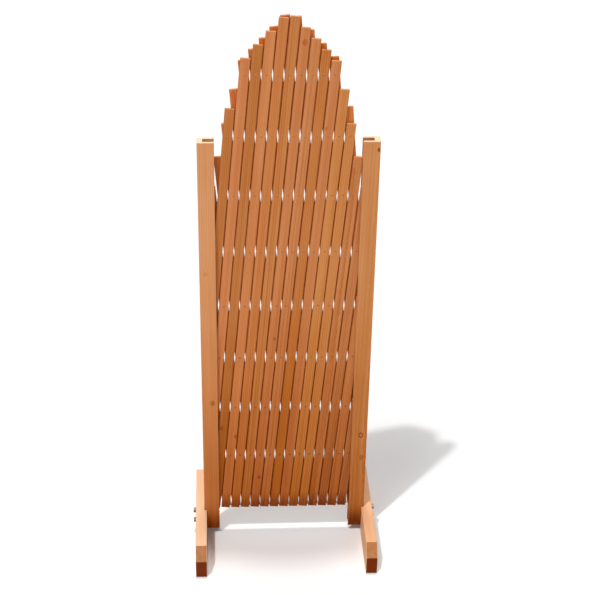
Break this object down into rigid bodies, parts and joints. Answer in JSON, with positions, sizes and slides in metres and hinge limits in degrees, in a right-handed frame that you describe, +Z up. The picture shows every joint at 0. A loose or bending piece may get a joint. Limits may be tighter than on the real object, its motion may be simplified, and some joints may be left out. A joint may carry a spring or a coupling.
{
  "type": "lattice fence panel",
  "caption": "Free-standing expanding wooden lattice panel: crossed laths on rivets fold like scissors between two grooved posts on feet.",
  "frame": {"origin": "on the ground, under the middle of the folded panel", "axes": "+X along the panel from the left post to the right one, +Y from the front layer of laths to the back one, +Z up"},
  "size_m": [0.3864, 0.304, 1.1642],
  "materials": {
    "front_laths": "thin orange-brown stain, grain showing",
    "back_laths": "thin orange-brown stain, grain showing",
    "posts": "thin orange-brown stain, grain showing",
    "feet": "thin orange-brown stain, sawn ends",
    "rivets": "dull zinc",
    "foot_screws": "dull zinc",
    "pins": "dull zinc",
    "sleeves": "plain tube"
  },
  "bodies": {
    "left_side": {"left_post": "posts", "left_foot": "feet", "left_foot_screws": "foot_screws", "left_pin": "pins", "left_pin_sleeve": "sleeves"},
    "right_side": {"right_post": "posts", "right_foot": "feet", "right_foot_screws": "foot_screws", "right_pin": "pins", "right_pin_sleeve": "sleeves"},
    "front_01": {"front_lath_01": "front_laths", "rivets_01": "rivets"},
    "back_01": {"back_lath_01": "back_laths"},
    "front_02": {"front_lath_02": "front_laths", "rivets_02": "rivets"},
    "back_02": {"back_lath_02": "back_laths"},
    "front_03": {"front_lath_03": "front_laths", "rivets_03": "rivets"},
    "back_03": {"back_lath_03": "back_laths"},
    "front_04": {"front_lath_04": "front_laths", "rivets_04": "rivets"},
    "back_04": {"back_lath_04": "back_laths"},
    "front_05": {"front_lath_05": "front_laths", "rivets_05": "rivets"},
    "back_05": {"back_lath_05": "back_laths"},
    "front_06": {"front_lath_06": "front_laths", "rivets_06": "rivets"},
    "back_06": {"back_lath_06": "back_laths"},
    "front_07": {"front_lath_07": "front_laths", "rivets_07": "rivets"},
    "back_07": {"back_lath_07": "back_laths"},
    "front_08": {"front_lath_08": "front_laths", "rivets_08": "rivets"},
    "back_08": {"back_lath_08": "back_laths"},
    "front_09": {"front_lath_09": "front_laths", "rivets_09": "rivets"},
    "back_09": {"back_lath_09": "back_laths"},
    "front_10": {"front_lath_10": "front_laths", "rivets_10": "rivets"},
    "back_10": {"back_lath_10": "back_laths"},
    "front_11": {"front_lath_11": "front_laths", "rivets_11": "rivets"},
    "back_11": {"back_lath_11": "back_laths"},
    "front_12": {"front_lath_12": "front_laths", "rivets_12": "rivets"},
    "back_12": {"back_lath_12": "back_laths"},
    "front_13": {"front_lath_13": "front_laths", "rivets_13": "rivets"},
    "back_13": {"back_lath_13": "back_laths"},
    "front_14": {"front_lath_14": "front_laths", "rivets_14": "rivets"},
    "back_14": {"back_lath_14": "back_laths"},
    "front_15": {"front_lath_15": "front_laths", "rivets_15": "rivets"},
    "back_15": {"back_lath_15": "back_laths"},
    "front_16": {"front_lath_16": "front_laths", "rivets_16": "rivets"},
    "back_16": {"back_lath_16": "back_laths"}
  },
  "joints": [
    {"name": "fold", "type": "hinge", "parent": "left_side", "child": "front_03", "pos_m": [-0.14401, 0, 0.08], "axis": [0, 1, 0], "range_deg": [-0.4, 26]},
    {"name": "back_16_pivot", "type": "hinge", "parent": "front_03", "child": "back_16", "pos_m": [-0.13373, 0, 0.20157], "axis": [0, 1, 0], "range_deg": [-52, 0.8]},
    {"name": "back_15_pivot", "type": "hinge", "parent": "front_03", "child": "back_15", "pos_m": [-0.12344, 0, 0.32313], "axis": [0, 1, 0], "range_deg": [-52, 0.8]},
    {"name": "back_14_pivot", "type": "hinge", "parent": "front_03", "child": "back_14", "pos_m": [-0.11315, 0, 0.4447], "axis": [0, 1, 0], "range_deg": [-52, 0.8]},
    {"name": "back_13_pivot", "type": "hinge", "parent": "front_03", "child": "back_13", "pos_m": [-0.10287, 0, 0.56626], "axis": [0, 1, 0], "range_deg": [-52, 0.8]},
    {"name": "back_12_pivot", "type": "hinge", "parent": "front_03", "child": "back_12", "pos_m": [-0.09258, 0, 0.68783], "axis": [0, 1, 0], "range_deg": [-52, 0.8]},
    {"name": "back_11_pivot", "type": "hinge", "parent": "front_03", "child": "back_11", "pos_m": [-0.08229, 0, 0.80939], "axis": [0, 1, 0], "range_deg": [-52, 0.8]},
    {"name": "back_10_pivot", "type": "hinge", "parent": "front_03", "child": "back_10", "pos_m": [-0.07201, 0, 0.93096], "axis": [0, 1, 0], "range_deg": [-52, 0.8]},
    {"name": "back_09_pivot", "type": "hinge", "parent": "front_03", "child": "back_09", "pos_m": [-0.06172, 0, 1.05252], "axis": [0, 1, 0], "range_deg": [-52, 0.8]},
    {"name": "front_04_pivot", "type": "hinge", "parent": "back_09", "child": "front_04", "pos_m": [-0.05143, 0, 0.93096], "axis": [0, 1, 0], "range_deg": [-0.8, 52]},
    {"name": "front_05_pivot", "type": "hinge", "parent": "back_09", "child": "front_05", "pos_m": [-0.04115, 0, 0.80939], "axis": [0, 1, 0], "range_deg": [-0.8, 52]},
    {"name": "front_06_pivot", "type": "hinge", "parent": "back_09", "child": "front_06", "pos_m": [-0.03086, 0, 0.68783], "axis": [0, 1, 0], "range_deg": [-0.8, 52]},
    {"name": "front_07_pivot", "type": "hinge", "parent": "back_09", "child": "front_07", "pos_m": [-0.02057, 0, 0.56626], "axis": [0, 1, 0], "range_deg": [-0.8, 52]},
    {"name": "front_08_pivot", "type": "hinge", "parent": "back_09", "child": "front_08", "pos_m": [-0.01029, 0, 0.4447], "axis": [0, 1, 0], "range_deg": [-0.8, 52]},
    {"name": "front_09_pivot", "type": "hinge", "parent": "back_09", "child": "front_09", "pos_m": [0, 0, 0.32313], "axis": [0, 1, 0], "range_deg": [-0.8, 52]},
    {"name": "front_10_pivot", "type": "hinge", "parent": "back_09", "child": "front_10", "pos_m": [0.01029, 0, 0.20157], "axis": [0, 1, 0], "range_deg": [-0.8, 52]},
    {"name": "front_11_pivot", "type": "hinge", "parent": "back_09", "child": "front_11", "pos_m": [0.02057, 0, 0.08], "axis": [0, 1, 0], "range_deg": [-0.8, 52]},
    {"name": "back_08_pivot", "type": "hinge", "parent": "front_10", "child": "back_08", "pos_m": [0.02057, 0, 0.32313], "axis": [0, 1, 0], "range_deg": [-52, 0.8]},
    {"name": "back_07_pivot", "type": "hinge", "parent": "front_10", "child": "back_07", "pos_m": [0.03086, 0, 0.4447], "axis": [0, 1, 0], "range_deg": [-52, 0.8]},
    {"name": "back_06_pivot", "type": "hinge", "parent": "front_10", "child": "back_06", "pos_m": [0.04115, 0, 0.56626], "axis": [0, 1, 0], "range_deg": [-52, 0.8]},
    {"name": "back_05_pivot", "type": "hinge", "parent": "front_10", "child": "back_05", "pos_m": [0.05143, 0, 0.68783], "axis": [0, 1, 0], "range_deg": [-52, 0.8]},
    {"name": "back_04_pivot", "type": "hinge", "parent": "front_10", "child": "back_04", "pos_m": [0.06172, 0, 0.80939], "axis": [0, 1, 0], "range_deg": [-52, 0.8]},
    {"name": "back_03_pivot", "type": "hinge", "parent": "front_10", "child": "back_03", "pos_m": [0.07201, 0, 0.93096], "axis": [0, 1, 0], "range_deg": [-52, 0.8]},
    {"name": "back_02_pivot", "type": "hinge", "parent": "front_10", "child": "back_02", "pos_m": [0.08229, 0, 1.05252], "axis": [0, 1, 0], "range_deg": [-52, 0.8]},
    {"name": "front_12_pivot", "type": "hinge", "parent": "back_03", "child": "front_12", "pos_m": [0.09258, 0, 0.68783], "axis": [0, 1, 0], "range_deg": [-0.8, 52]},
    {"name": "front_13_pivot", "type": "hinge", "parent": "back_03", "child": "front_13", "pos_m": [0.10287, 0, 0.56626], "axis": [0, 1, 0], "range_deg": [-0.8, 52]},
    {"name": "front_14_pivot", "type": "hinge", "parent": "back_03", "child": "front_14", "pos_m": [0.11315, 0, 0.4447], "axis": [0, 1, 0], "range_deg": [-0.8, 52]},
    {"name": "front_15_pivot", "type": "hinge", "parent": "back_03", "child": "front_15", "pos_m": [0.12344, 0, 0.32313], "axis": [0, 1, 0], "range_deg": [-0.8, 52]},
    {"name": "front_16_pivot", "type": "hinge", "parent": "back_03", "child": "front_16", "pos_m": [0.13373, 0, 0.20157], "axis": [0, 1, 0], "range_deg": [-0.8, 52]},
    {"name": "front_02_pivot", "type": "hinge", "parent": "back_11", "child": "front_02", "pos_m": [-0.09258, 0, 0.93096], "axis": [0, 1, 0], "range_deg": [-0.8, 52]},
    {"name": "front_01_pivot", "type": "hinge", "parent": "back_13", "child": "front_01", "pos_m": [-0.12344, 0, 0.80939], "axis": [0, 1, 0], "range_deg": [-0.8, 52]},
    {"name": "back_01_pivot", "type": "hinge", "parent": "front_13", "child": "back_01", "pos_m": [0.12344, 0, 0.80939], "axis": [0, 1, 0], "range_deg": [-52, 0.8]},
    {"name": "right_side_pivot", "type": "hinge", "parent": "back_03", "child": "right_side", "pos_m": [0.14401, 0, 0.08], "axis": [0, 1, 0], "range_deg": [-0.4, 26]}
  ],
  "couplings": [
    {"joint": "back_16_pivot", "follows": "fold", "ratio": -2},
    {"joint": "back_15_pivot", "follows": "fold", "ratio": -2},
    {"joint": "back_14_pivot", "follows": "fold", "ratio": -2},
    {"joint": "back_13_pivot", "follows": "fold", "ratio": -2},
    {"joint": "back_12_pivot", "follows": "fold", "ratio": -2},
    {"joint": "back_11_pivot", "follows": "fold", "ratio": -2},
    {"joint": "back_10_pivot", "follows": "fold", "ratio": -2},
    {"joint": "back_09_pivot", "follows": "fold", "ratio": -2},
    {"joint": "front_04_pivot", "follows": "fold", "ratio": 2},
    {"joint": "front_05_pivot", "follows": "fold", "ratio": 2},
    {"joint": "front_06_pivot", "follows": "fold", "ratio": 2},
    {"joint": "front_07_pivot", "follows": "fold", "ratio": 2},
    {"joint": "front_08_pivot", "follows": "fold", "ratio": 2},
    {"joint": "front_09_pivot", "follows": "fold", "ratio": 2},
    {"joint": "front_10_pivot", "follows": "fold", "ratio": 2},
    {"joint": "front_11_pivot", "follows": "fold", "ratio": 2},
    {"joint": "back_08_pivot", "follows": "fold", "ratio": -2},
    {"joint": "back_07_pivot", "follows": "fold", "ratio": -2},
    {"joint": "back_06_pivot", "follows": "fold", "ratio": -2},
    {"joint": "back_05_pivot", "follows": "fold", "ratio": -2},
    {"joint": "back_04_pivot", "follows": "fold", "ratio": -2},
    {"joint": "back_03_pivot", "follows": "fold", "ratio": -2},
    {"joint": "back_02_pivot", "follows": "fold", "ratio": -2},
    {"joint": "front_12_pivot", "follows": "fold", "ratio": 2},
    {"joint": "front_13_pivot", "follows": "fold", "ratio": 2},
    {"joint": "front_14_pivot", "follows": "fold", "ratio": 2},
    {"joint": "front_15_pivot", "follows": "fold", "ratio": 2},
    {"joint": "front_16_pivot", "follows": "fold", "ratio": 2},
    {"joint": "front_02_pivot", "follows": "fold", "ratio": 2},
    {"joint": "front_01_pivot", "follows": "fold", "ratio": 2},
    {"joint": "back_01_pivot", "follows": "fold", "ratio": -2},
    {"joint": "right_side_pivot", "follows": "fold", "ratio": 1}
  ]
}
